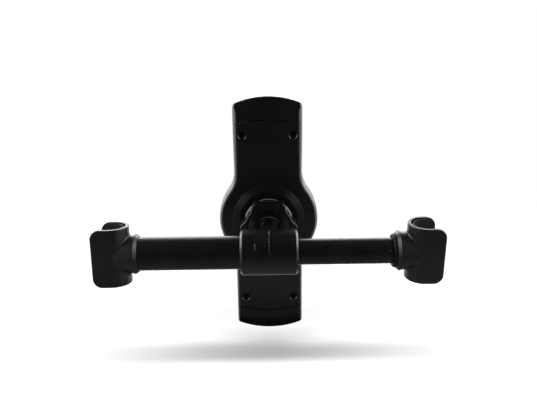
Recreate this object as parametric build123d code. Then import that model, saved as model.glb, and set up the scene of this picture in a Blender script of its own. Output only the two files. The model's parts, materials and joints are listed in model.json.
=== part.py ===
from build123d import *
import math
import os

# Clearances
FIT = 0.05
RUN = 0.10
GAP = 0.30
SEAM = 0.40

# Bar
POST_SPACING = 167.0
BRACKET_X = 84.0
TUBE_R = 9.0
TUBE_WALL = 1.2
GUIDE_WALL = 0.8
LEFT_TWIST = -3.5
ARM_TWIST = 4.0
GUIDE_LENGTH = 20.0
GUIDE_FLANGE = 1.0
PLUG_FLANGE = 3.0
PLUG_SPIGOT = 10.0
SPRING_WIRE = 1.1
SPRING_TURNS = 7
DIMPLE_R = 1.2
DIMPLE_DEPTH = 0.5
DIMPLE_TURN = -21.0

# Post hooks
POST_R = 6.4
POST_LINER = 1.2
HOOK_WALL = 2.0
HOOK_LIP = 9.0
REAR_LIP = 7.2
HOOK_HEIGHT = 31.4
HOOK_CORNER = 5.0
HOOK_EDGE = 0.5
LINER_INSET = 0.6
STUB_LENGTH = 2.8
STUB_STEP = 0.4
STUB_FLARE = 1.3
STUB_BLEND = 1.2
ARM_STUB_EXTRA = 1.0
COLLAR_STEP = 1.8
COLLAR_WIDTH = 0.5
COLLAR_BEVEL = 1.6
SEAT_WALL = 0.6
SPIGOT_LENGTH = 7.0
FERRULE_NOSE = 1.8

# Centre bracket
SLEEVE_WALL = 3.2
SLEEVE_LENGTH = 30.6
SLEEVE_BEVEL = 1.1
SLEEVE_END = 1.3
NECK_R = 4.2
NECK_ROOT_R = 9.6
NECK_FLARE = 10.0
BALL_R = 7.2
BALL_Y = 40.0
BALL_Z = 1.3

# Ball liner and lock nut
CUP_WALL = 1.7
CUP_RIM = 0.5
CUP_FRONT_ANGLE = 60.0
CUP_BACK_ANGLE = 125.0
NUT_OPENING_ANGLE = 64.0
NUT_DISH = 4.0
NUT_FRONT = 5.3
NUT_BACK = 6.0
NUT_STEP = 1.8
NUT_LOBES = 6
NUT_TIP_R = 16.9
NUT_SIDE_R = 14.3
NUT_LOBE_R = 3.2
NUT_BLEND = 6.0
NUT_LOBED = 8.0
NUT_EDGE = 0.5
NUT_LIP = 0.6
SOCKET_WALL = 1.6

# Holder housing
HOLDER_Y = 12.0
BODY_WIDTH = 41.6
FLARE_R = 30.5
FLARE_BLEND = 20.0
SEAM_Z = 61.4
SEAM_R = 76.0
BACK_WALL = 2.2
CAVITY = 6.0
FRONT_WALL = 2.8
SIDE_WALL = 2.0
BACK_EDGE = 3.0
FRONT_EDGE = 1.2
BOSS_R = 22.0
BOSS_SLOPE = 4.0
BOSS_RISE = 2.0
SCREW_X = 15.2
SCREW_Z = 52.4
SCREW_HEAD_R = 2.0
SCREW_HEAD = 1.6
SCREW_R = 1.2
SCREW_SUNK = 1.6
SCREW_RIM = 0.35
SCREW_BITE = 2.0
SCREW_POST = 1.0
PAD_WIDTH = 30.0
PAD_LENGTH = 84.0
PAD_CORNER = 5.0
PAD_SEAT = 0.8
PAD_PROUD = 0.8
PAD_GROOVES = 6
PAD_GROOVE = 2.0

# Jaws
JAW_END = 75.2
JAW_END_R = 52.0
JAW_TRAVEL = 30.0
JAW_CORNER = 2.0
JAW_FALL_START = 4.6
JAW_FALL = 4.8
JAW_LEAN = 7.0
JAW_WALL = 3.2
JAW_WIDTH = 36.0
TABLET_GAP = 11.0
LIP_THICK = 3.0
LIP_DROP = 12.0
LIP_WIDTH = 32.0
LIP_CORNER = 4.0
JAW_PAD = 1.5
JAW_PAD_WIDTH = 28.0
TONGUE_NECK = 4.6
TONGUE_ROOT = 10.0

# Rack, pinion and jaw springs
MODULE = 1.0
TEETH = 12
PRESSURE = math.radians(20.0)
RACK_ADDENDUM = 0.65
RACK_DEDENDUM = 1.15
RACK_PLAY = 0.20
PINION_THICK = 4.6
AXLE_R = 2.0
JAW_SPRING_R = 1.8
JAW_SPRING_WIRE = 0.7
JAW_SPRING_TURNS = 12
JAW_SPRING_HOOK = 5.0
WIRE_SIDES = 6

# Values that follow
GROOVE_R = POST_R + POST_LINER
HOOK_R = GROOVE_R + HOOK_WALL
COLLAR_X = HOOK_R + STUB_LENGTH
STUB_R = HOOK_R - STUB_STEP
COLLAR_R = TUBE_R + COLLAR_STEP
MOUTH_X = COLLAR_X + COLLAR_WIDTH + COLLAR_BEVEL
SEAT_X = COLLAR_X + SEAT_WALL
SPIGOT_X = SEAT_X + SPIGOT_LENGTH
TUBE_BORE = TUBE_R - TUBE_WALL
ARM_R = TUBE_BORE - GUIDE_WALL
ARM_BORE = ARM_R - TUBE_WALL
SLEEVE_R = TUBE_R + SLEEVE_WALL
GUIDE_END = BRACKET_X + SLEEVE_LENGTH / 2 - SLEEVE_END
TUBE_END = GUIDE_END - GUIDE_FLANGE
GUIDE_START = GUIDE_END - GUIDE_LENGTH
ARM_START = GUIDE_START - GAP
PLUG_START = ARM_START - PLUG_FLANGE
CUP_BORE = BALL_R + RUN
CUP_R = CUP_BORE + CUP_WALL
SOCKET_R = CUP_R + RUN
TOWER_R = SOCKET_R + SOCKET_WALL
BACK_Y = BALL_Y + HOLDER_Y
CAVITY_Y = BACK_Y + BACK_WALL
LID_Y = CAVITY_Y + CAVITY
FRONT_Y = LID_Y + FRONT_WALL
REST_Y = FRONT_Y + PAD_PROUD
LIP_Y = REST_Y + TABLET_GAP
SEAM_CENTRE = SEAM_Z - SEAM_R
END_CENTRE = JAW_END - JAW_END_R
SCREW_BORE = SCREW_HEAD_R + 2 * RUN
POST_OUTER = SCREW_BORE + SCREW_POST
PITCH_R = MODULE * TEETH / 2
PITCH = math.pi * MODULE
TONGUE_HALF = SCREW_X - POST_OUTER - SEAM
LUG_HALF = BODY_WIDTH / 2 - SIDE_WALL - SEAM
RACK_BACK = LUG_HALF - 2 * (JAW_SPRING_R + SEAM)
LUG_TOP = SCREW_Z - POST_OUTER - JAW_TRAVEL - GAP
RACK_END = JAW_TRAVEL + 2 * PITCH
SLOT_TOP = RACK_END + 2 * MODULE
BALL = (BRACKET_X, BALL_Y, BALL_Z)


def turned(points, axis):
    """Solid of revolution of a closed outline about an axis of the drawing plane."""
    return revolve(make_face(Polyline(*points, close=True)), axis)


def rod(radius, start, end):
    """Cylinder along the bar's axis."""
    face = Plane(origin=(start, 0, 0), x_dir=(0, 1, 0), z_dir=(1, 0, 0)) * Circle(radius)
    return extrude(face, end - start)


def slab(sketch, near, far):
    """Holder drawing, seen from the seat, given thickness from near to far."""
    face = Plane(origin=(BRACKET_X, far, BALL_Z), x_dir=(1, 0, 0), z_dir=(0, -1, 0)) * sketch
    return extrude(face, far - near)


def leaning(sketch, near, far):
    """Holder drawing given thickness from near to far while it leans down towards the tablet."""
    fall = math.tan(math.radians(JAW_LEAN))
    low = (near - BACK_Y) * fall
    face = Plane(origin=(BRACKET_X, near, BALL_Z - low), x_dir=(1, 0, 0), z_dir=(0, -1, 0)) * sketch
    length = (far - near) / math.cos(math.radians(JAW_LEAN))
    return extrude(face, length, dir=(0, 1, -fall))


def sphere_point(radius, angle):
    """Point of a sphere's outline at an angle from the side that faces the bar."""
    turn = math.radians(angle)
    return (radius * math.sin(turn), -radius * math.cos(turn))


def sphere_arc(radius, start, end):
    """Arc of a sphere's outline between two angles."""
    middle = (start + end) / 2
    points = [sphere_point(radius, angle) for angle in (start, middle, end)]
    return ThreePointArc(*points)


def on_ball(shape):
    """Shape drawn about the ball's centre, put in its place."""
    return Pos(*BALL) * shape


def half_channel(radius, lip, height, depth):
    """Half of a U channel open to the left, its lip corners rounded."""
    plan = Circle(radius) + Pos(-lip / 2, 0) * Rectangle(lip, 2 * radius)
    body = extrude(Plane.XY.offset(-height / 2) * plan, height)
    side = Pos((radius - lip) / 2, 0) * Rectangle(radius + lip, height)
    side = fillet(side.vertices().group_by(Axis.X)[0], HOOK_CORNER)
    return body & extrude(Plane.XZ * side, depth)


def channel(radius, inset):
    """U channel of a hook, longer on the side that faces the seat."""
    height = HOOK_HEIGHT - 2 * inset
    front = half_channel(radius, HOOK_LIP - inset, height, radius)
    return front + half_channel(radius, REAR_LIP - inset, height, -radius)


def hook(spigot_r, extra):
    """Hook for one post: U channel, flared stub with collar, and the spigot inside the tube."""
    collar_x = COLLAR_X + extra
    collar_foot = STUB_R + STUB_FLARE
    hollow = Circle(GROOVE_R) + Pos(-HOOK_R, 0) * Rectangle(2 * HOOK_R, 2 * GROOVE_R)
    groove = extrude(Plane.XY * hollow, HOOK_HEIGHT, both=True)
    body = channel(HOOK_R, 0)
    rims = body.edges().filter_by(lambda e: abs(abs(e.center().Z) - HOOK_HEIGHT / 2) < FIT)
    outer = rims.filter_by(lambda e: abs((e @ 0.5).Y) > GROOVE_R + FIT or (e @ 0.5).X > GROOVE_R + FIT)
    body = fillet(outer, HOOK_EDGE)
    stub = turned([(0, 0), (0, STUB_R), (collar_x, collar_foot), (collar_x, 0)], Axis.X)
    body += stub
    flare = STUB_FLARE / collar_x
    on_stub = body.edges().filter_by(
        lambda e: abs(math.hypot((e @ 0.5).Y, (e @ 0.5).Z) - STUB_R - flare * (e @ 0.5).X) < FIT
    )
    crease = on_stub.filter_by(lambda e: FIT < (e @ 0.5).X < collar_x - FIT)
    body = fillet(crease, STUB_BLEND)
    collar = turned(
        [
            (GROOVE_R, 0),
            (GROOVE_R, STUB_R / 2),
            (COLLAR_X, STUB_R / 2),
            (COLLAR_X, COLLAR_R),
            (COLLAR_X + COLLAR_WIDTH, COLLAR_R),
            (MOUTH_X, TUBE_R + HOOK_EDGE),
            (MOUTH_X, TUBE_R + FIT),
            (SEAT_X, TUBE_R + FIT),
            (SEAT_X, spigot_r - FIT),
            (SPIGOT_X, spigot_r - FIT),
            (SPIGOT_X, 0),
        ],
        Axis.X,
    )
    return body + Pos(extra, 0, 0) * collar - groove


def post_liner():
    """Soft lining of one hook."""
    body = channel(GROOVE_R - FIT, LINER_INSET)
    hollow = Circle(POST_R) + Pos(-HOOK_R, 0) * Rectangle(2 * HOOK_R, 2 * POST_R)
    return body - extrude(Plane.XY * hollow, HOOK_HEIGHT, both=True)


def at_left(shape):
    """Left-hand piece turned a little about the bar."""
    return Rot(LEFT_TWIST, 0, 0) * shape


def at_right(shape):
    """Mirror image of a left-hand piece, put at the far end of the arm."""
    return Rot(ARM_TWIST, 0, 0) * Pos(POST_SPACING, 0, 0) * mirror(shape, about=Plane.YZ)


def bracket():
    """Sleeve on the bar with its neck and ball in one moulding."""
    start = BRACKET_X - SLEEVE_LENGTH / 2
    end = BRACKET_X + SLEEVE_LENGTH / 2
    body = rod(SLEEVE_R, start, end)
    body = chamfer(body.edges(), SLEEVE_BEVEL)
    reach = math.hypot(BALL_Y, BALL_Z)
    foot = math.sqrt(SLEEVE_R**2 - NECK_ROOT_R**2)
    throat = SLEEVE_R + NECK_FLARE
    bend = NECK_R + (NECK_ROOT_R - NECK_R) / 4
    lines = [
        Line((0, foot), (NECK_ROOT_R, foot)),
        ThreePointArc((NECK_ROOT_R, foot), (bend, (foot + throat) / 2), (NECK_R, throat)),
        Line((NECK_R, throat), (NECK_R, reach)),
        Line((NECK_R, reach), (0, reach)),
        Line((0, reach), (0, foot)),
    ]
    neck = revolve(make_face(lines), Axis.Y) + Pos(0, reach, 0) * Sphere(BALL_R)
    rise = math.degrees(math.atan2(BALL_Z, BALL_Y))
    body += Pos(BRACKET_X, 0, 0) * Rot(rise, 0, 0) * neck
    body -= rod(TUBE_R + FIT, start, GUIDE_END)
    return body - rod(ARM_R + GAP, GUIDE_END, end)


def coil(radius, wire, turns, length):
    """Coil of wire that climbs the Z axis from the origin."""
    path = Helix(length / turns, length, radius)
    section = Plane(origin=path @ 0, z_dir=path % 0) * RegularPolygon(wire / 2, WIRE_SIDES)
    return sweep(section, path=path)


def bar_spring():
    """Coil spring between the hook's spigot and the plug of the arm."""
    length = PLUG_START - SPIGOT_X - SPRING_WIRE - 2 * FIT
    radius = TUBE_BORE - GAP - SPRING_WIRE / 2
    wound = coil(radius, SPRING_WIRE, SPRING_TURNS, length)
    placed = Pos(SPIGOT_X + SPRING_WIRE / 2 + FIT, 0, 0) * Rot(0, 90, 0) * wound
    return placed & rod(TUBE_BORE, SPIGOT_X + FIT, PLUG_START - FIT)


def ball_liner():
    """Ring between the ball and the nut."""
    mouth = sphere_point(CUP_BORE, CUP_FRONT_ANGLE)
    front_y = mouth[1] - CUP_RIM
    front_angle = math.degrees(math.acos(-front_y / CUP_R))
    lines = [
        sphere_arc(CUP_R, front_angle, CUP_BACK_ANGLE),
        Line(sphere_point(CUP_R, CUP_BACK_ANGLE), sphere_point(CUP_BORE, CUP_BACK_ANGLE)),
        sphere_arc(CUP_BORE, CUP_FRONT_ANGLE, CUP_BACK_ANGLE),
        Polyline(mouth, (mouth[0] + CUP_RIM, front_y), sphere_point(CUP_R, front_angle)),
    ]
    return on_ball(revolve(make_face(lines), Axis.Y))


def lock_nut():
    """Six-sided hand nut that closes the socket round the ball."""
    plan = Circle(NUT_SIDE_R) + PolarLocations(NUT_TIP_R - NUT_LOBE_R, NUT_LOBES) * Circle(NUT_LOBE_R)
    inner = [v for v in plan.vertices() if math.hypot(v.X, v.Y) < NUT_SIDE_R + FIT]
    plan = fillet(inner, NUT_BLEND)
    back = Plane(origin=(0, NUT_LOBED - NUT_FRONT, 0), x_dir=(1, 0, 0), z_dir=(0, -1, 0))
    body = extrude(back * plan, NUT_LOBED)
    layers = body.edges().group_by(Axis.Y)
    body = fillet(layers[0] + layers[-1], NUT_EDGE)
    skirt = turned(
        [
            (0, 0),
            (NUT_SIDE_R, 0),
            (NUT_SIDE_R, NUT_BACK - 2 * NUT_LIP),
            (NUT_SIDE_R + NUT_LIP, NUT_BACK - NUT_LIP),
            (NUT_SIDE_R + NUT_LIP, NUT_BACK),
            (0, NUT_BACK),
        ],
        Axis.Y,
    )
    step = math.degrees(math.acos(-NUT_STEP / SOCKET_R))
    edge = sphere_point(SOCKET_R, NUT_OPENING_ANGLE)
    shoulder = sphere_point(SOCKET_R, step)
    lines = [
        sphere_arc(SOCKET_R, NUT_OPENING_ANGLE, step),
        Polyline(
            shoulder,
            (TOWER_R + RUN, NUT_STEP),
            (TOWER_R + RUN, NUT_BACK),
            (0, NUT_BACK),
            (0, -NUT_FRONT),
            (edge[0] + NUT_DISH, -NUT_FRONT),
            edge,
        ),
    ]
    return on_ball(body + skirt - revolve(make_face(lines), Axis.Y))


def housing_plan():
    """Outline of the housing with its flare and its bowed ends."""
    plan = Circle(FLARE_R) + Rectangle(BODY_WIDTH, 2 * SEAM_Z)
    meets = [v for v in plan.vertices() if abs(v.Y) < FLARE_R]
    plan = fillet(meets, FLARE_BLEND)
    return plan & Pos(0, SEAM_CENTRE) * Circle(SEAM_R) & Pos(0, -SEAM_CENTRE) * Circle(SEAM_R)


def housing_blank(near, far, face_y, edge):
    """Housing outline given thickness, its long edges rounded on one face."""
    body = slab(housing_plan(), near, far)
    rim = body.edges().filter_by(lambda e: abs(e.center().Y - face_y) < FIT)
    sides = rim.filter_by(lambda e: abs(e.center().X - BRACKET_X) > BODY_WIDTH / 4)
    return fillet(sides, edge)


def at_screws(sketch):
    """Drawing repeated at the four cover screws."""
    return Sketch() + GridLocations(2 * SCREW_X, 2 * SCREW_Z, 2, 2) * sketch


def back_cover():
    """Moulded back of the holder with the raised boss and the ball socket."""
    body = housing_blank(BACK_Y, LID_Y, BACK_Y, BACK_EDGE)
    plan = offset(housing_plan(), -SIDE_WALL) + Rectangle(BODY_WIDTH - 2 * SIDE_WALL, 2 * JAW_END)
    body -= slab(plan, CAVITY_Y, LID_Y)
    body += slab(at_screws(Circle(POST_OUTER)), BACK_Y + BACK_WALL / 2, LID_Y)
    head_y = BACK_Y + SCREW_SUNK + SCREW_HEAD
    body -= slab(at_screws(Circle(SCREW_BORE)), BACK_Y, head_y)
    bores = body.edges().filter_by(GeomType.CIRCLE).filter_by(lambda e: abs(e.radius - SCREW_BORE) < FIT)
    body = chamfer(bores.filter_by(lambda e: abs(e.center().Y - BACK_Y) < FIT), SCREW_RIM)
    body -= slab(at_screws(Circle(SCREW_R + RUN)), head_y, LID_Y)
    boss = turned(
        [
            (0, HOLDER_Y + BACK_WALL),
            (BOSS_R, HOLDER_Y + BACK_WALL),
            (BOSS_R, HOLDER_Y),
            (BOSS_R - BOSS_SLOPE, HOLDER_Y - BOSS_RISE),
            (TOWER_R, HOLDER_Y - BOSS_RISE),
            (TOWER_R, NUT_STEP + SEAM),
            (0, NUT_STEP + SEAM),
        ],
        Axis.Y,
    )
    return body + on_ball(boss) - on_ball(Sphere(SOCKET_R))


def front_cover():
    """Lid of the holder with the seat for the pad and the pinion's axle."""
    body = housing_blank(LID_Y, FRONT_Y, FRONT_Y, FRONT_EDGE)
    seat = RectangleRounded(PAD_WIDTH + 2 * RUN, PAD_LENGTH + 2 * RUN, PAD_CORNER + RUN)
    body -= slab(seat, FRONT_Y - PAD_SEAT, FRONT_Y)
    body -= slab(at_screws(Circle(SCREW_R + RUN)), LID_Y, LID_Y + SCREW_BITE + RUN)
    return body + slab(Circle(AXLE_R), CAVITY_Y + GAP, LID_Y + FRONT_WALL / 2)


def front_pad():
    """Grooved rubber pad behind the tablet."""
    plan = RectangleRounded(PAD_WIDTH, PAD_LENGTH, PAD_CORNER)
    body = slab(plan, FRONT_Y - PAD_SEAT, REST_Y)
    pitch = PAD_LENGTH / (PAD_GROOVES + 1)
    grooves = Sketch() + GridLocations(0, pitch, 1, PAD_GROOVES) * Rectangle(PAD_WIDTH, PAD_GROOVE)
    return body - slab(grooves, FRONT_Y, REST_Y)


def cover_screws():
    """Four cross-head screws of the covers."""
    head_y = BACK_Y + SCREW_SUNK
    heads = slab(at_screws(Circle(SCREW_HEAD_R)), head_y, head_y + SCREW_HEAD)
    cross = Rectangle(SCREW_HEAD_R, SCREW_R / 2) + Rectangle(SCREW_R / 2, SCREW_HEAD_R)
    heads -= slab(at_screws(cross), head_y, head_y + SCREW_HEAD / 2)
    return heads + slab(at_screws(Circle(SCREW_R)), head_y + SCREW_HEAD, LID_Y + SCREW_BITE)


def involute(radius, base):
    """Angle that an involute turns through from its base circle to a radius."""
    roll = math.sqrt(max((radius / base) ** 2 - 1, 0))
    return roll - math.atan(roll)


def pinion():
    """Spur pinion between the two racks."""
    base = PITCH_R * math.cos(PRESSURE)
    half = math.pi / (2 * TEETH) + involute(PITCH_R, base)
    tip = PITCH_R + MODULE
    root = PITCH_R - RACK_DEDENDUM
    radii = [root] + [base + (tip - base) * step / 4 for step in range(5)]
    flank = [(radius, half - involute(radius, base)) for radius in radii]
    points = []
    for tooth in range(TEETH):
        middle = 2 * math.pi * tooth / TEETH
        rising = [(radius, middle - angle) for radius, angle in flank]
        falling = [(radius, middle + angle) for radius, angle in reversed(flank)]
        points += [(r * math.cos(a), r * math.sin(a)) for r, a in rising + falling]
    plan = make_face(Polyline(*points, close=True)) - Circle(AXLE_R + RUN)
    start = CAVITY_Y + (CAVITY - PINION_THICK) / 2
    return slab(plan, start, start + PINION_THICK)


def box_plan(x_low, x_high, z_low, z_high):
    """Rectangle between two corners."""
    return Pos((x_low + x_high) / 2, (z_low + z_high) / 2) * Rectangle(x_high - x_low, z_high - z_low)


def tongue_plan():
    """Sliding tongue of the upper jaw with its rack arm."""
    back = -(PITCH_R + RACK_DEDENDUM)
    plan = box_plan(-TONGUE_HALF, TONGUE_HALF, SLOT_TOP, SEAM_Z + JAW_FALL_START)
    plan += box_plan(-TONGUE_HALF, TONGUE_NECK, TONGUE_ROOT, SLOT_TOP)
    plan += box_plan(-LUG_HALF, -TONGUE_HALF, TONGUE_ROOT, LUG_TOP)
    plan += box_plan(-RACK_BACK, back, -RACK_END, TONGUE_ROOT)
    lean = math.tan(PRESSURE)
    half = PITCH / 4 - RACK_PLAY / 2
    low = half + RACK_DEDENDUM * lean
    high = half - RACK_ADDENDUM * lean
    for step in range(-round(RACK_END / PITCH), 2):
        middle = (step + 0.5) * PITCH
        tooth = Polyline(
            (back, middle - low),
            (-PITCH_R + RACK_ADDENDUM, middle - high),
            (-PITCH_R + RACK_ADDENDUM, middle + high),
            (back, middle + low),
            close=True,
        )
        plan += make_face(tooth)
    return plan


def end_band(thickness, width):
    """Bowed strip along the inside of a jaw's end."""
    strip = Pos(0, END_CENTRE) * (Circle(JAW_END_R) - Circle(JAW_END_R - thickness))
    return strip & box_plan(-width / 2, width / 2, 0, JAW_END)


def upper_jaw():
    """Sliding jaw: head, leaning wall with its lip, and the tongue inside the housing."""
    head = box_plan(-BODY_WIDTH / 2, BODY_WIDTH / 2, 0, JAW_END)
    head &= Pos(0, END_CENTRE) * Circle(JAW_END_R)
    head -= Pos(0, SEAM_CENTRE) * Circle(SEAM_R + SEAM)
    head = fillet(head.vertices().group_by(Axis.Y)[-1], JAW_CORNER)
    body = slab(head, BACK_Y, FRONT_Y)
    rim = body.edges().filter_by(lambda e: abs(e.center().Y - BACK_Y) < FIT)
    sides = rim.filter_by(Axis.Z)
    body = fillet(sides, BACK_EDGE)
    start = SEAM_R + JAW_FALL_START
    reach = JAW_END - SEAM_Z
    bend = (reach**2 + JAW_FALL**2) / (2 * JAW_FALL)
    sag = bend - math.sqrt(bend**2 - (reach / 2) ** 2)
    end = (start + reach, JAW_FALL)
    lines = [
        ThreePointArc((start, 0), (start + reach / 2, sag), end),
        Polyline(end, (start + reach, -BACK_EDGE), (start, -BACK_EDGE), (start, 0)),
    ]
    fall = revolve(make_face(lines), Axis.Y)
    body -= Pos(BRACKET_X, BACK_Y, BALL_Z + SEAM_CENTRE) * fall
    body += leaning(end_band(JAW_WALL, JAW_WIDTH), FRONT_Y - FRONT_WALL, LIP_Y + LIP_THICK)
    lip = box_plan(-LIP_WIDTH / 2, LIP_WIDTH / 2, JAW_END - LIP_DROP, JAW_END)
    lip = fillet(lip.vertices().group_by(Axis.Y)[0], LIP_CORNER) & Pos(0, END_CENTRE) * Circle(JAW_END_R)
    body += leaning(lip, LIP_Y, LIP_Y + LIP_THICK)
    return body + slab(tongue_plan(), CAVITY_Y + GAP, LID_Y - GAP)


def upper_jaw_pad():
    """Rubber strip along the inside of a jaw's wall."""
    strip = end_band(JAW_WALL + JAW_PAD, JAW_PAD_WIDTH) - Pos(0, END_CENTRE) * (
        Circle(JAW_END_R) - Circle(JAW_END_R - JAW_WALL - FIT)
    )
    return leaning(strip, FRONT_Y + GAP, LIP_Y - FIT)


def jaw_spring():
    """Extension spring from a screw post up to the lug of the upper jaw."""
    middle = (RACK_BACK + LUG_HALF) / 2
    radius = JAW_SPRING_R - JAW_SPRING_WIRE / 2
    low = -(SCREW_Z - POST_OUTER)
    length = TONGUE_ROOT - low
    wound = coil(radius, JAW_SPRING_WIRE, JAW_SPRING_TURNS, length - 2 * JAW_SPRING_HOOK)
    leg = extrude(Pos(radius, 0) * Circle(JAW_SPRING_WIRE / 2), JAW_SPRING_HOOK - RUN)
    body = Pos(0, 0, JAW_SPRING_HOOK) * wound
    body += Pos(0, 0, RUN) * leg
    body += Pos(0, 0, length - JAW_SPRING_HOOK) * leg
    return Pos(BRACKET_X - middle, CAVITY_Y + CAVITY / 2, BALL_Z + low) * body


def half_turn(shape):
    """Shape turned half round about the pinion's axis."""
    middle = Pos(BRACKET_X, 0, BALL_Z)
    return middle * Rot(0, 180, 0) * middle.inverse() * shape


def inner_tube():
    """Thin tube of the arm with the dimple that fixes it on the spigot."""
    start = ARM_START + FIT
    end = POST_SPACING - ARM_STUB_EXTRA - SEAT_X - FIT
    body = rod(ARM_R, start, end) - rod(ARM_BORE, start, end)
    dimple = Pos(end - SPIGOT_LENGTH + DIMPLE_R, -ARM_R - DIMPLE_R + DIMPLE_DEPTH, 0) * Sphere(DIMPLE_R)
    return body - Rot(DIMPLE_TURN, 0, 0) * dimple


def ferrule():
    """Ring between the thin tube and the hook's collar."""
    nose = MOUTH_X + FERRULE_NOSE
    return turned(
        [
            (SEAT_X + FIT, ARM_R + FIT),
            (SEAT_X + FIT, TUBE_R),
            (nose - HOOK_EDGE, TUBE_R),
            (nose, TUBE_R - HOOK_EDGE),
            (nose, ARM_R + FIT),
        ],
        Axis.X,
    )


def guide_bush():
    """Plain bush in the mouth of the thick tube."""
    body = rod(TUBE_BORE - FIT, GUIDE_START, GUIDE_END) + rod(TUBE_R, TUBE_END + FIT, GUIDE_END - FIT)
    return body - rod(ARM_R + RUN, GUIDE_START, GUIDE_END)


def arm_plug():
    """Flanged plug that runs in the thick tube and carries the end of the arm."""
    flange = rod(TUBE_BORE - RUN, PLUG_START, ARM_START)
    return flange + rod(ARM_BORE - RUN, PLUG_START, ARM_START + PLUG_SPIGOT)


jaw = upper_jaw()
jaw_pad = upper_jaw_pad()
spring = jaw_spring()
nodes = {
    "left_hook": at_left(hook(TUBE_BORE, 0)),
    "left_hook_liner": at_left(post_liner()),
    "outer_tube": rod(TUBE_R, SEAT_X + FIT, TUBE_END) - rod(TUBE_BORE, SEAT_X + FIT, TUBE_END),
    "centre_bracket": bracket(),
    "guide_bush": guide_bush(),
    "bar_spring": bar_spring(),
    "arm_plug": arm_plug(),
    "inner_tube": inner_tube(),
    "arm_ferrule": at_right(Pos(ARM_STUB_EXTRA, 0, 0) * ferrule()),
    "right_hook": at_right(hook(ARM_BORE, ARM_STUB_EXTRA)),
    "right_hook_liner": at_right(post_liner()),
    "ball_liner": ball_liner(),
    "lock_nut": lock_nut(),
    "back_cover": back_cover(),
    "front_cover": front_cover(),
    "front_pad": front_pad(),
    "cover_screws": cover_screws(),
    "pinion": pinion(),
    "upper_jaw": jaw,
    "upper_jaw_pad": jaw_pad,
    "lower_jaw": half_turn(jaw),
    "lower_jaw_pad": half_turn(jaw_pad),
    "left_jaw_spring": spring,
    "right_jaw_spring": half_turn(spring),
}

os.makedirs("parts", exist_ok=True)
for name, shape in nodes.items():
    export_step(shape, f"parts/{name}.step")
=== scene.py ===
import json
import math

import bmesh
import bpy
from mathutils import Matrix, Vector


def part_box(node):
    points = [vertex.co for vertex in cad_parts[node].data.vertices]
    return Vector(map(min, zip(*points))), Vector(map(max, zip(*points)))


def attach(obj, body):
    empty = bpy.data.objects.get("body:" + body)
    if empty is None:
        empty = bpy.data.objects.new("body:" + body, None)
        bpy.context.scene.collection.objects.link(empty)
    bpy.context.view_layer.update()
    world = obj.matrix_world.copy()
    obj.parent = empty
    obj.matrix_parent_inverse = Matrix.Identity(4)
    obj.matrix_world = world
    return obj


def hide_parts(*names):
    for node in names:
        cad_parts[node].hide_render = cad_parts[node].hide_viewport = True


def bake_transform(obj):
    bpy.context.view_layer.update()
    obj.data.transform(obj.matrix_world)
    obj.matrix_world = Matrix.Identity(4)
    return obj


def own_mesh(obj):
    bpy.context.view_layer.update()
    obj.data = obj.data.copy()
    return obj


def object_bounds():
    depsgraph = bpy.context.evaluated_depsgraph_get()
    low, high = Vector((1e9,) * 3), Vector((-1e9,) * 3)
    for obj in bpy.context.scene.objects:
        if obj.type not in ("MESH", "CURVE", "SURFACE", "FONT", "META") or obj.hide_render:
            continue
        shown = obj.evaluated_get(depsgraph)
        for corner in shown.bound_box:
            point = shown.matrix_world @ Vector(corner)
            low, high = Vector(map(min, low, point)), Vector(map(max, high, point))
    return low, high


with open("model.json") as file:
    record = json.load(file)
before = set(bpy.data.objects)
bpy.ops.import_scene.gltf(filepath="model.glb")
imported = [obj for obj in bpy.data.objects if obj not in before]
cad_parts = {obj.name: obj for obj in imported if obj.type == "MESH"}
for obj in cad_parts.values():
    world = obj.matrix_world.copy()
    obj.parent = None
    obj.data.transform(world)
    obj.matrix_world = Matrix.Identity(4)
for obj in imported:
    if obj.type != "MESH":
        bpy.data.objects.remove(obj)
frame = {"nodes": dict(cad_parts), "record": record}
cad_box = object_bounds()
nodes = frame["nodes"]
scene = bpy.context.scene
MM = 0.001

# Camera, as the photograph has it
IMAGE_WIDTH = 537
FOCAL_PIXELS = 600.0
SENSOR_WIDTH = 36.0
CAMERA_PLACE = (84.0 * MM, -300.5 * MM, 118.4 * MM)
CAMERA_PITCH = math.radians(17.02)
CAMERA_ROLL = math.radians(-0.8)

# Floor and world. The floor lies low enough for the open lower jaw.
FLOOR_DROP = 34.0 * MM
FLOOR_HALF = 0.35
FLOOR_GLOW = 0.29
FLOOR_GREY = 0.92
WORLD_LIGHT = 0.16

# Lamps, in metres and watts, placed from the middle of the part, the card from the bar's axis
KEY_TILT = math.radians(37.3)
KEY_DISTANCE = 1.6
KEY_SIZE = (2.8, 0.10)
KEY_WATTS = 48.0
SIDE_DISTANCE = 0.60
SIDE_SIZE = (0.80, 0.70)
SIDE_WATTS = 5.3
SIDE_BACK = 0.14
SIDE_RISE = 0.32
BACK_PLACE = (0.0, 0.75, 0.26)
BACK_SIZE = (1.4, 0.22)
BACK_WATTS = 5.0
STRIP_PLACE = (0.0, 0.36, 0.42)
STRIP_SIZE = (0.90, 0.036)
STRIP_WATTS = 0.32
CARD_SIZE = (0.044, 0.036)
CARD_DROP = 30.0 * MM
CARD_WATTS = 0.004
SHEET_SIZE = (0.32, 0.26)
SHEET_OUT = 0.345
SHEET_BACK = 0.30
SHEET_WATTS = 0.9

# Dark cloth round the camera. Greys are pairs of a place along its span and a level.
CLOTH_R = 0.60
CLOTH_NEAR_HALF = 0.19
CLOTH_FAR_HALF = 0.45
CLOTH_EDGE_Y = 55.0 * MM
CLOTH_OVER = math.radians(140.0)
CLOTH_STEPS = 24
CLOTH_SPAN = (-0.20, 0.06)
CLOTH_GREYS = ((0.0, 0.065), (0.68, 0.22), (0.86, 0.13), (1.0, 0.14))

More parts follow.
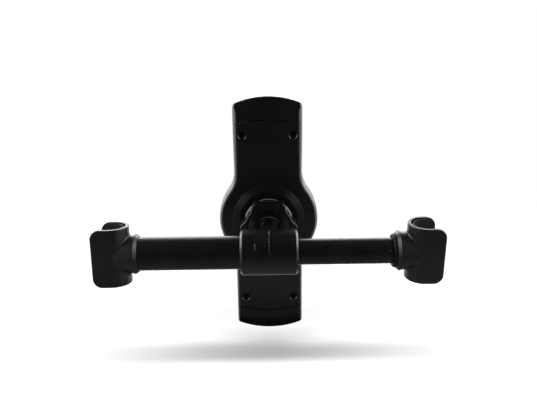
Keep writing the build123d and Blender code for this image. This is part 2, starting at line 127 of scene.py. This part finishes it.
# Plastics: dark grey, light grey, roughness, grain scale, grain depth in metres, gloss
PLASTICS = {
    "hook_plastic": (0.0038, 0.0054, (0.28, 0.36), 2600.0, 0.000012, 0.45),
    "bracket_plastic": (0.0018, 0.0026, (0.26, 0.32), 3000.0, 0.000004, 0.52),
    "nut_plastic": (0.0028, 0.0040, (0.09, 0.14), 3200.0, 0.000003, 0.50),
    "holder_plastic": (0.0018, 0.0026, (0.26, 0.32), 2200.0, 0.000006, 0.50),
    "inner_plastic": (0.0030, 0.0045, (0.45, 0.55), 2400.0, 0.000006, 0.12),
    "rubber": (0.0080, 0.0110, (0.70, 0.85), 1800.0, 0.000030, 0.30),
    # Painted highlight: light grey for the beads at the ball's edges
    "edge_highlight": (0.06, 0.11, (0.20, 0.30), 3000.0, 0.000004, 0.50),
    # Painted shade: near black for the gap in each hook
    "gap_shade": (0.0005, 0.0008, (0.80, 0.90), 1800.0, 0.000004, 0.0),
    # Painted highlight: lighter grey for the lining's rounded edge
    "liner_edge_highlight": (0.028, 0.040, (0.45, 0.55), 1800.0, 0.000004, 0.30),
}
# Metals: dark grey, light grey, roughness, metallic, stretch of the marks, their depth, gloss
METALS = {
    "tube": (0.0020, 0.0030, (0.26, 0.36), 0.0, (0.02, 1.0, 1.0), 0.000003, 0.34),
    "spring_steel": (0.45, 0.58, (0.22, 0.34), 1.0, (1.0, 1.0, 1.0), 0.000004, 0.50),
    "screw_steel": (0.003, 0.006, (0.34, 0.46), 0.6, (1.0, 1.0, 1.0), 0.000004, 0.50),
}
# Tint of the greys, scale and detail of the noises, and the spans of noise that count
GREY_BLUE = 1.02
FLOW_SCALE, FLOW_DETAIL = 60.0, 3.0
FLOW_DEPTH = 0.5
GRAIN_DETAIL = 2.0
LINE_SCALE, LINE_DETAIL = 1800.0, 3.0
CLOUD_SCALE, CLOUD_DETAIL = 90.0, 2.0
COLOUR_ENDS = (0.30, 0.70)
SHEEN_SPAN = (0.25, 0.75)

# Uneven polish: index of refraction, and the spans of normal and of y over which it changes
PLAIN_IOR = 1.50
BAND_IOR = 1.90
BOSS_IOR = 1.30
BALL_IOR = 1.12
BAND_NORMAL = (0.30, 0.42)
BAND_DEPTH = (52.05 * MM, 52.30 * MM)
BOSS_DEPTH = (51.70 * MM, 51.95 * MM)
BALL_START = (30.0 * MM, 33.0 * MM)

# Marks on the sleeve. The gate's rings are pairs of a radius and a height in mm.
SEAM_WIDTH = 0.40 * MM
SEAM_RISE = 0.10 * MM
SEAM_SUNK = 0.05 * MM
SEAM_START = math.radians(12.0)
SEAM_STEPS = 48
SEAM_BACK = 35.0 * MM
SHOULDER_OUT, SHOULDER_UP = 0.5, 0.7
TICK_X = 76.6 * MM
TICK_WIDTH = 0.70 * MM
TICK_RISE = 0.22 * MM
TICK_ANGLES = (math.radians(24.0), math.radians(43.0))
TICK_STEPS = 12
GATE_ANGLE = math.radians(10.4)
GATE_RINGS = (
    (1.5, -0.06),
    (1.25, 0.03),
    (1.0, 0.06),
    (0.75, 0.04),
    (0.5, 0.02),
    (0.2, 0.06),
)
GATE_SIDES = 24

# Beads drawn light grey as painted highlights at the ball: radius, y from the ball and thickness
# in mm, and half angle in degrees
BALL_Y = 40.0 * MM
LIP_BEAD = (14.85, 5.3, 0.30, 38.0)
MOUTH_BEAD = (6.62, -3.95, 0.22, 68.0)
BEAD_STEPS = 40
BEAD_SIDES = 8
THIN_END = 0.05

# Hooks: name, body, x of the post in mm, way to the bar, and twist about the bar in degrees
HOOKS = (
    ("left_hook", "bar", 0.0, 1.0, -3.5),
    ("right_hook", "arm", 167.0, -1.0, 4.0),
)
# Dark strip of painted shade in the gap between a hook's rim and its lining, in mm: radius and
# height over the lining's top
LINER_TOP = 15.10
GAP_SECTION = (
    (7.84, 0.615),
    (7.84, 0.50),
    (7.50, -0.05),
    (6.82, -0.05),
    (6.82, 0.03),
    (7.45, 0.05),
    (7.55, 0.615),
)
# Rounded edge of the lining, drawn lighter than the rubber as a painted highlight, and how far its
# two sides reach past the post's axis, in mm
LINER_EDGE_R = 6.62
LINER_EDGE_THICK = 0.19
LINER_SIDES = (3.4, 1.6)
LINER_STEPS = 36

# Run-out of the thread on the socket. Half width is a share of the pitch, crest of the half width.
TOWER_R = 10.7 * MM
THREAD_PITCH = 1.5 * MM
THREAD_RISE = 0.55 * MM
THREAD_TURNS = 2.0
THREAD_STEPS = 64
THREAD_FADE_STEPS = 12
THREAD_HALF = 0.36
THREAD_CREST = 0.3

# Small distance that keeps thread and lamps off the faces beside them
CLEAR = 0.15 * MM

ACROSS = Vector((1.0, 0.0, 0.0))
ALONG = Vector((0.0, 1.0, 0.0))
UP = Vector((0.0, 0.0, 1.0))


def middle(node):
    """Centre of a node's box."""
    low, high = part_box(node)
    return (Vector(low) + Vector(high)) / 2


def circle(count):
    """Cosine and sine of evenly spaced turns."""
    turns = [2 * math.pi * side / count for side in range(count)]
    return [(math.cos(turn), math.sin(turn)) for turn in turns]


def grey(value):
    """Neutral grey with a trace of blue."""
    return (value, value, value * GREY_BLUE)


def parts_of(tree, output):
    """X, Y and Z of a point or of a normal in the piece's own space."""
    place = tree.nodes.new("ShaderNodeTexCoord")
    split = tree.nodes.new("ShaderNodeSeparateXYZ")
    tree.links.new(place.outputs[output], split.inputs["Vector"])
    return split.outputs


def spread_over(tree, value, span, ends):
    """Value that runs between two ends over a span."""
    spread = tree.nodes.new("ShaderNodeMapRange")
    for key, number in zip(("From Min", "From Max", "To Min", "To Max"), (*span, *ends)):
        spread.inputs[key].default_value = number
    tree.links.new(value, spread.inputs["Value"])
    return spread.outputs["Result"]


def reckon(tree, kind, *values):
    """Result of one math node."""
    step = tree.nodes.new("ShaderNodeMath")
    step.operation = kind
    for value, socket in zip(values, step.inputs):
        tree.links.new(value, socket)
    return step.outputs["Value"]


class Shader:
    """Node tree of one material, with short ways to add and join nodes."""

    def __init__(self, name):
        self.material = bpy.data.materials.new(name)
        self.material.use_nodes = True
        self.tree = self.material.node_tree
        self.body = self.tree.nodes["Principled BSDF"]

    def add(self, kind):
        return self.tree.nodes.new(kind)

    def join(self, source, target):
        self.tree.links.new(source, target)

    def noise(self, scale, detail, stretch=(1.0, 1.0, 1.0)):
        place = self.add("ShaderNodeTexCoord")
        mapping = self.add("ShaderNodeMapping")
        mapping.inputs["Scale"].default_value = stretch
        self.join(place.outputs["Object"], mapping.inputs["Vector"])
        noise = self.add("ShaderNodeTexNoise")
        noise.inputs["Scale"].default_value = scale
        noise.inputs["Detail"].default_value = detail
        self.join(mapping.outputs["Vector"], noise.inputs["Vector"])
        return noise.outputs["Fac"]

    def colours(self, factor, stops):
        """Base colour from pairs of a place on the ramp and a grey."""
        ramp = self.add("ShaderNodeValToRGB")
        elements = ramp.color_ramp.elements
        while len(elements) < len(stops):
            elements.new(1.0)
        for element, (position, value) in zip(elements, stops):
            element.position = position
            element.color = (*grey(value), 1.0)
        self.join(factor, ramp.inputs["Fac"])
        self.join(ramp.outputs["Color"], self.body.inputs["Base Color"])

    def roughness(self, factor, ends):
        sheen = spread_over(self.tree, factor, SHEEN_SPAN, ends)
        self.join(sheen, self.body.inputs["Roughness"])

    def bump(self, heights):
        """Chain of bumps, each a factor with its depth in metres."""
        last = None
        for factor, depth in heights:
            bump = self.add("ShaderNodeBump")
            bump.inputs["Strength"].default_value = 1.0
            bump.inputs["Distance"].default_value = depth
            self.join(factor, bump.inputs["Height"])
            if last is not None:
                self.join(last.outputs["Normal"], bump.inputs["Normal"])
            last = bump
        self.join(last.outputs["Normal"], self.body.inputs["Normal"])

    def level(self, socket, value):
        self.body.inputs[socket].default_value = value


def moulded(name, dark, light, rough, grain, depth, gloss):
    """Moulded plastic: spark-eroded grain, slow flow marks and uneven sheen."""
    shader = Shader(name)
    flow = shader.noise(FLOW_SCALE, FLOW_DETAIL)
    fine = shader.noise(grain, GRAIN_DETAIL)
    shader.colours(flow, list(zip(COLOUR_ENDS, (dark, light))))
    shader.roughness(flow, rough)
    shader.bump([(fine, depth), (flow, FLOW_DEPTH * depth)])
    shader.level("Specular IOR Level", gloss)
    return shader.material


def drawn_metal(name, dark, light, rough, metallic, stretch, depth, gloss):
    """Metal with fine marks along one direction."""
    shader = Shader(name)
    lines = shader.noise(LINE_SCALE, LINE_DETAIL, stretch)
    cloud = shader.noise(CLOUD_SCALE, CLOUD_DETAIL)
    shader.colours(cloud, list(zip(COLOUR_ENDS, (dark, light))))
    shader.roughness(lines, rough)
    shader.bump([(lines, depth)])
    shader.level("Metallic", metallic)
    shader.level("Specular IOR Level", gloss)
    return shader.material


materials = {name: moulded(name, *values) for name, values in PLASTICS.items()}
materials |= {name: drawn_metal(name, *values) for name, values in METALS.items()}


def polish_holder():
    """Polished bands along the holder's sides, and a duller raised boss."""
    tree = materials["holder_plastic"].node_tree
    depth = parts_of(tree, "Object")["Y"]
    sideways = reckon(tree, "ABSOLUTE", parts_of(tree, "Normal")["X"])
    side = spread_over(tree, sideways, BAND_NORMAL, (0.0, BAND_IOR - PLAIN_IOR))
    behind = spread_over(tree, depth, BAND_DEPTH, (0.0, 1.0))
    raised = spread_over(tree, depth, BOSS_DEPTH, (BOSS_IOR, PLAIN_IOR))
    band = reckon(tree, "MULTIPLY", side, behind)
    polish = reckon(tree, "ADD", band, raised)
    tree.links.new(polish, tree.nodes["Principled BSDF"].inputs["IOR"])


def dull_ball():
    """Ball worn dull by its ring."""
    tree = materials["bracket_plastic"].node_tree
    depth = parts_of(tree, "Object")["Y"]
    worn = spread_over(tree, depth, BALL_START, (PLAIN_IOR, BALL_IOR))
    tree.links.new(worn, tree.nodes["Principled BSDF"].inputs["IOR"])


def dress_nodes():
    """Each CAD node gets the finish of its slot in the record."""
    for row in frame["record"]["subparts"]:
        slots = nodes[row["node"]].data.materials
        slots.clear()
        slots.append(materials[row["material_slot"]])
    nodes["ball_liner"].data.materials[0] = materials["nut_plastic"]


def live_spring(node):
    """Copy of a spring, shown in place of the node."""
    source = nodes[node]
    data = source.data.copy()
    data.transform(source.matrix_world)
    piece = bpy.data.objects.new(node + "_coil", data)
    scene.collection.objects.link(piece)
    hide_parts(node)
    return piece, *(Vector(corner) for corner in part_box(node))


def live_springs():
    """Copies of the springs: the bar's set on the bar with a mesh of its own, the jaws' left where
    they stand.
    """
    coil, low, high = live_spring("bar_spring")
    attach(coil, "bar")
    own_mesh(coil)
    for node, jaw in (("left_jaw_spring", "jaw_up"), ("right_jaw_spring", "jaw_down")):
        coil, low, high = live_spring(node)
        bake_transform(coil)


def mesh_piece(name, rings, body, slot, finish=None):
    """Closed mesh through rings of points, set on a body with its slot's or its own finish."""
    shape = bmesh.new()
    rows = [[shape.verts.new(point) for point in ring] for ring in rings]
    count = len(rows[0])
    for a, b in zip(rows, rows[1:]):
        for i in range(count):
            j = (i + 1) % count
            shape.faces.new((a[i], a[j], b[j], b[i]))
    shape.faces.new(list(reversed(rows[0])))
    shape.faces.new(rows[-1])
    bmesh.ops.recalc_face_normals(shape, faces=shape.faces[:])
    data = bpy.data.meshes.new(name)
    shape.to_mesh(data)
    shape.free()
    data.shade_smooth()
    piece = bpy.data.objects.new(name, data)
    scene.collection.objects.link(piece)
    data.materials.append(materials[finish or slot])
    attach(piece, body)


def ridge_ring(point, outward, width=SEAM_WIDTH, rise=SEAM_RISE):
    """Section of a low moulded ridge."""
    half = width / 2 * ACROSS
    shoulder = SHOULDER_UP * rise * outward
    return [
        point - half - SEAM_SUNK * outward,
        point - SHOULDER_OUT * half + shoulder,
        point + rise * outward,
        point + SHOULDER_OUT * half + shoulder,
        point + half - SEAM_SUNK * outward,
    ]


def sleeve_outward(angle):
    """Direction out of the sleeve, turned up from the side that faces the seat."""
    return Vector((0.0, -math.cos(angle), math.sin(angle)))


def sleeve_arc(x, radius, start, end, steps, **size):
    """Ridge sections round a part of the sleeve."""
    rings = []
    for step in range(steps + 1):
        outward = sleeve_outward(start + (end - start) * step / steps)
        rings.append(ridge_ring(x * ACROSS + radius * outward, outward, **size))
    return rings


def parting_line(x, radius):
    """Mould seam over the sleeve and along the top of the neck."""
    rings = sleeve_arc(x, radius, SEAM_START, math.pi / 2, SEAM_STEPS)
    for step in range(1, SEAM_STEPS + 1):
        start = Vector((x, SEAM_BACK * step / SEAM_STEPS, 2 * radius))
        _, point, outward, _ = nodes["centre_bracket"].ray_cast(start, -UP)
        rings.append(ridge_ring(point, outward))
    mesh_piece("bracket_parting_line", rings, "bar", "bracket_plastic")


def gate_mark(x, radius):
    """Round mark where the mould was filled."""
    outward = sleeve_outward(GATE_ANGLE)
    upward = sleeve_outward(GATE_ANGLE + math.pi / 2)
    rings = []
    for reach, height in GATE_RINGS:
        ring = []
        for cosine, sine in circle(GATE_SIDES):
            up = reach * MM * sine
            sink = radius - math.sqrt(radius**2 - up**2)
            offset = reach * MM * cosine * ACROSS + up * upward
            ring.append(x * ACROSS + offset + (radius - sink + height * MM) * outward)
        rings.append(ring)
    mesh_piece("bracket_gate_mark", rings, "bar", "bracket_plastic")


def sleeve_marks():
    """Mould seam, small witness mark and gate mark."""
    low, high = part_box("centre_bracket")
    radius = high[2]
    x = (low[0] + high[0]) / 2
    parting_line(x, radius)
    size = {"width": TICK_WIDTH, "rise": TICK_RISE}
    tick = sleeve_arc(TICK_X, radius, *TICK_ANGLES, TICK_STEPS, **size)
    mesh_piece("bracket_witness_mark", tick, "bar", "bracket_plastic")
    gate_mark(x, radius)


def highlight_bead(name, ball, size, body):
    """Round bead over the top of an opening, thinned out to its ends, light grey as a painted
    highlight.
    """
    radius, y, thick, spread = size
    radius, y, thick = radius * MM, y * MM, thick * MM
    section = circle(BEAD_SIDES)
    rings = []
    for step in range(BEAD_STEPS + 1):
        share = 2 * step / BEAD_STEPS - 1
        turn = math.radians(spread) * share
        out = Vector((math.sin(turn), 0.0, math.cos(turn)))
        core = ball + y * ALONG + radius * out
        width = thick * max(1 - share**2, THIN_END)
        rings.append([core + width * (cosine * out + sine * ALONG) for cosine, sine in section])
    mesh_piece(name, rings, body, "nut_plastic", "edge_highlight")


def ball_highlights():
    """Painted highlights: light grey beads on the nut's lip and on the ring round the ball."""
    centre = middle("ball_liner")
    ball = Vector((centre.x, BALL_Y, centre.z))
    highlight_bead("nut_lip_highlight", ball, LIP_BEAD, "nut")
    highlight_bead("ball_ring_highlight", ball, MOUTH_BEAD, "ball_cup")


def hook_path(across):
    """Points round a hook's lining, from lip to lip, at a distance from the post's axis."""
    front, rear = LINER_SIDES
    path = [(-front, -across)]
    for step in range(LINER_STEPS + 1):
        turn = math.pi * (step / LINER_STEPS - 0.5)
        path.append((across * math.cos(turn), across * math.sin(turn)))
    path.append((-rear, across))
    return path


def hook_gaps():
    """Painted shade in the gap between each hook's rim and its lining, and a painted highlight on
    the lining's rounded edge.
    """
    bead = []
    for cosine, sine in circle(BEAD_SIDES):
        bead.append((LINER_EDGE_R + LINER_EDGE_THICK * cosine, LINER_EDGE_THICK * sine))
    strips = (("gap", GAP_SECTION, "gap_shade"), ("liner_edge_highlight", bead, "liner_edge_highlight"))
    for hook, body, place, way, twist in HOOKS:
        turned = Matrix.Rotation(math.radians(twist), 3, "X")
        post = place * MM * ACROSS
        for name, section, finish in strips:
            sweeps = []
            for across, rise in section:
                row = []
                for x, y in hook_path(across):
                    row.append(turned @ Vector((way * x, y, LINER_TOP + rise)) * MM + post)
                sweeps.append(row)
            mesh_piece(f"{hook}_{name}", list(zip(*sweeps)), body, "rubber", finish)


def socket_thread():
    """Run-out of the thread that shows between the nut and the boss."""
    centre = middle("lock_nut")
    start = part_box("lock_nut")[1][1] + CLEAR + THREAD_PITCH / 2
    count = int(THREAD_TURNS * THREAD_STEPS)
    half = THREAD_PITCH * THREAD_HALF * ALONG
    foot = TOWER_R - SEAM_SUNK
    rings = []
    for step in range(count + 1):
        turn = 2 * math.pi * step / THREAD_STEPS
        fade = min(1.0, step / THREAD_FADE_STEPS, (count - step) / THREAD_FADE_STEPS)
        tip = TOWER_R + THREAD_RISE * max(fade, THIN_END)
        out = Vector((math.cos(turn), 0.0, math.sin(turn)))
        base = Vector((centre.x, start + THREAD_PITCH * step / THREAD_STEPS, centre.z))
        rings.append(
            [
                base - half + foot * out,
                base - THREAD_CREST * half + tip * out,
                base + THREAD_CREST * half + tip * out,
                base + half + foot * out,
            ]
        )
    mesh_piece("socket_thread", rings, "holder", "holder_plastic")


def seen_directly(tree):
    """Factor that is one for rays from the camera, from gloss and through glass."""
    path = tree.nodes.new("ShaderNodeLightPath").outputs
    either = reckon(tree, "MAXIMUM", path["Is Camera Ray"], path["Is Glossy Ray"])
    return reckon(tree, "MAXIMUM", either, path["Is Transmission Ray"])


def white_world():
    """White where it is seen, dimmer as a lamp."""
    world = bpy.data.worlds.new("studio")
    scene.world = world
    world.use_nodes = True
    tree = world.node_tree
    background = tree.nodes["Background"]
    background.inputs["Color"].default_value = (1.0, 1.0, 1.0, 1.0)
    level = spread_over(tree, seen_directly(tree), (0.0, 1.0), (WORLD_LIGHT, 1.0))
    tree.links.new(level, background.inputs["Strength"])


def floor_finish():
    """Matt white with a glow of its own."""
    material = bpy.data.materials.new("floor")
    material.use_nodes = True
    tree = material.node_tree
    tree.nodes.clear()
    matt = tree.nodes.new("ShaderNodeBsdfDiffuse")
    matt.inputs["Color"].default_value = (FLOOR_GREY, FLOOR_GREY, FLOOR_GREY, 1.0)
    glow = tree.nodes.new("ShaderNodeEmission")
    level = spread_over(tree, seen_directly(tree), (0.0, 1.0), (0.0, FLOOR_GLOW))
    tree.links.new(level, glow.inputs["Strength"])
    both = tree.nodes.new("ShaderNodeAddShader")
    tree.links.new(matt.outputs["BSDF"], both.inputs[0])
    tree.links.new(glow.outputs["Emission"], both.inputs[1])
    output = tree.nodes.new("ShaderNodeOutputMaterial")
    tree.links.new(both.outputs["Shader"], output.inputs["Surface"])
    return material


def stage_sheet(name, points, faces, material):
    """Plain sheet that belongs to the studio and not to the part."""
    data = bpy.data.meshes.new(name)
    data.from_pydata(points, [], faces)
    data.materials.append(material)
    sheet = bpy.data.objects.new(name, data)
    scene.collection.objects.link(sheet)
    return sheet


def white_floor():
    """Pale floor that shows the object's shadow."""
    z = cad_box[0][2] - FLOOR_DROP
    centre = middle("lock_nut")
    corners = []
    for a, b in ((-1, -1), (1, -1), (1, 1), (-1, 1)):
        corners.append((centre.x + FLOOR_HALF * a, centre.y + FLOOR_HALF * b, z))
    floor = stage_sheet("floor", corners, [(0, 1, 2, 3)], floor_finish())


def area_light(name, place, target, size, watts):
    """Soft box that faces a point."""
    data = bpy.data.lights.new(name, "AREA")
    data.shape = "RECTANGLE"
    data.size, data.size_y = size
    data.energy = watts
    lamp = bpy.data.objects.new(name, data)
    lamp.location = place
    lamp.rotation_euler = (Vector(target) - Vector(place)).to_track_quat("-Z", "Y").to_euler()
    scene.collection.objects.link(lamp)
    return lamp


def gloss_light(name, place, target, size, watts):
    """Soft box that only shows as a reflection."""
    lamp = area_light(name, place, target, size, watts)
    lamp.visible_diffuse = False
    lamp.visible_camera = False


def studio():
    """Key for the shadow alone, soft boxes that the gloss shows, and a cloth round the camera."""
    low, high = cad_box
    centre = (Vector(low) + Vector(high)) / 2
    key = centre + KEY_DISTANCE * Vector((0.0, -math.sin(KEY_TILT), math.cos(KEY_TILT)))
    area_light("key", key, centre, KEY_SIZE, KEY_WATTS).visible_glossy = False
    for name, side in (("left", -1.0), ("right", 1.0)):
        place = centre + Vector((side * SIDE_DISTANCE, SIDE_BACK, SIDE_RISE))
        box = area_light(name + "_box", place, centre, SIDE_SIZE, SIDE_WATTS)
        box.visible_diffuse = False
        place = Vector((centre.x + side * SHEET_OUT, centre.y + SHEET_BACK, low[2] + CLEAR))
        gloss_light(name + "_sheet", place, place + UP, SHEET_SIZE, SHEET_WATTS)
    gloss_light("back_box", centre + Vector(BACK_PLACE), centre, BACK_SIZE, BACK_WATTS)
    gloss_light("top_strip", centre + Vector(STRIP_PLACE), centre, STRIP_SIZE, STRIP_WATTS)
    jaw_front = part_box("lower_jaw")[0][1]
    card_z = -CARD_DROP - CARD_SIZE[1] / 2
    place = Vector((middle("lower_jaw").x, jaw_front - CLEAR, card_z))
    gloss_light("sleeve_card", place, place - ALONG, CARD_SIZE, CARD_WATTS)
    dark_cloth(centre, low[2])


def graded_cloth():
    """Matt cloth that is lightest beside the bar."""
    shader = Shader("cloth")
    depth = parts_of(shader.tree, "Object")["Y"]
    shader.colours(spread_over(shader.tree, depth, CLOTH_SPAN, (0.0, 1.0)), CLOTH_GREYS)
    shader.level("Roughness", 1.0)
    shader.level("Specular IOR Level", 0.0)
    return shader.material


def dark_cloth(centre, bottom):
    """Dark sweep that only gloss shows, so that the front stays as dark as in the photograph."""
    profile = [(CLOTH_EDGE_Y, bottom, CLOTH_NEAR_HALF), (-CLOTH_R, bottom, CLOTH_FAR_HALF)]
    for step in range(CLOTH_STEPS + 1):
        angle = CLOTH_OVER * step / CLOTH_STEPS
        profile.append((-CLOTH_R * math.cos(angle), CLOTH_R * math.sin(angle), CLOTH_FAR_HALF))
    points = []
    for y, z, half in profile:
        points += [(centre.x - half, y, z), (centre.x + half, y, z)]
    faces = [(i, i + 1, i + 3, i + 2) for i in range(0, len(points) - 2, 2)]
    cloth = stage_sheet("cloth", points, faces, graded_cloth())
    cloth.visible_camera = False
    cloth.visible_diffuse = False
    cloth.visible_shadow = False


def photo_camera():
    """Camera at the photograph's place."""
    data = bpy.data.cameras.new("camera")
    data.sensor_fit = "HORIZONTAL"
    data.sensor_width = SENSOR_WIDTH
    data.lens = FOCAL_PIXELS / IMAGE_WIDTH * SENSOR_WIDTH
    camera = bpy.data.objects.new("camera", data)
    pitch = Matrix.Rotation(math.pi / 2 - CAMERA_PITCH, 4, "X")
    roll = Matrix.Rotation(CAMERA_ROLL, 4, "Z")
    camera.matrix_world = Matrix.Translation(CAMERA_PLACE) @ pitch @ roll
    scene.collection.objects.link(camera)
    scene.camera = camera


polish_holder()
dull_ball()
dress_nodes()
live_springs()
sleeve_marks()
ball_highlights()
hook_gaps()
socket_thread()
white_world()
white_floor()
studio()
photo_camera()
scene.view_settings.view_transform = "Standard"
